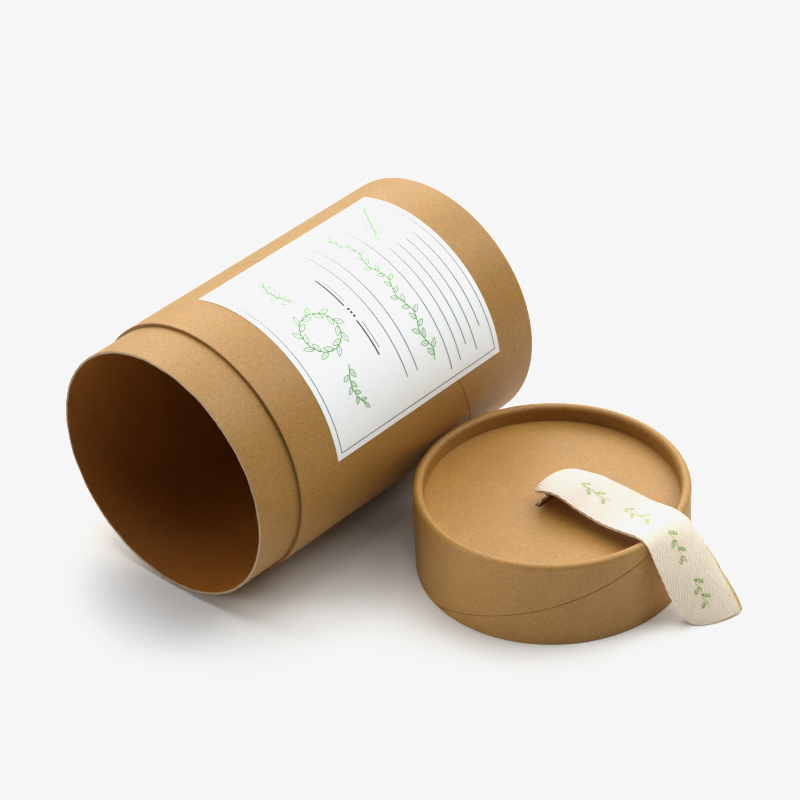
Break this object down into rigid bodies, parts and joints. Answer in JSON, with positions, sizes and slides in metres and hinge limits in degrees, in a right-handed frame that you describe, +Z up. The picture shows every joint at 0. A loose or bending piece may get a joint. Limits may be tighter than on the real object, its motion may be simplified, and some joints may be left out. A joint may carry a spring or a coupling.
{
  "type": "cylindrical gift tube box",
  "caption": "Round kraft paper tube box lying open on its side, with its lift-off lid and woven pull tape beside it.",
  "frame": {"origin": "on the floor, under the middle of the whole arrangement of box, lid and tape", "axes": "+X along the tube from its mouth to its base, +Z up, +Y from the lid towards the tube"},
  "size_m": [0.14, 0.2016, 0.0941],
  "materials": {
    "kraft_tube": "matt brown kraft, spiral wound",
    "kraft_neck": "matt brown kraft board",
    "kraft_disc": "matt brown kraft card",
    "kraft_liner": "matt brown kraft paper",
    "board": "matt grey-brown board",
    "label_paper": "smooth white paper",
    "tape_cotton": "natural cotton herringbone tape"
  },
  "bodies": {
    "tube": {"outer_tube": "kraft_tube", "neck_tube": "kraft_neck", "base_disc": "kraft_disc", "base_backing": "board", "base_liner": "kraft_liner", "front_label": "label_paper"},
    "lid": {"lid_tube": "kraft_tube", "lid_disc": "kraft_disc", "lid_backing": "board", "lid_liner": "kraft_liner", "tape_tails": "tape_cotton"},
    "tape": {"pull_tape": "tape_cotton"}
  },
  "joints": [
    {"name": "lid_lift", "type": "slide", "parent": "tube", "child": "lid", "axis": [0, -0.5, 0.866], "range_m": [0, 0.12]},
    {"name": "tape_swing", "type": "hinge", "parent": "lid", "child": "tape", "pos_m": [0.0255, -0.03778, 0.0276], "axis": [-1, 0, 0], "range_deg": [0, 90]}
  ]
}
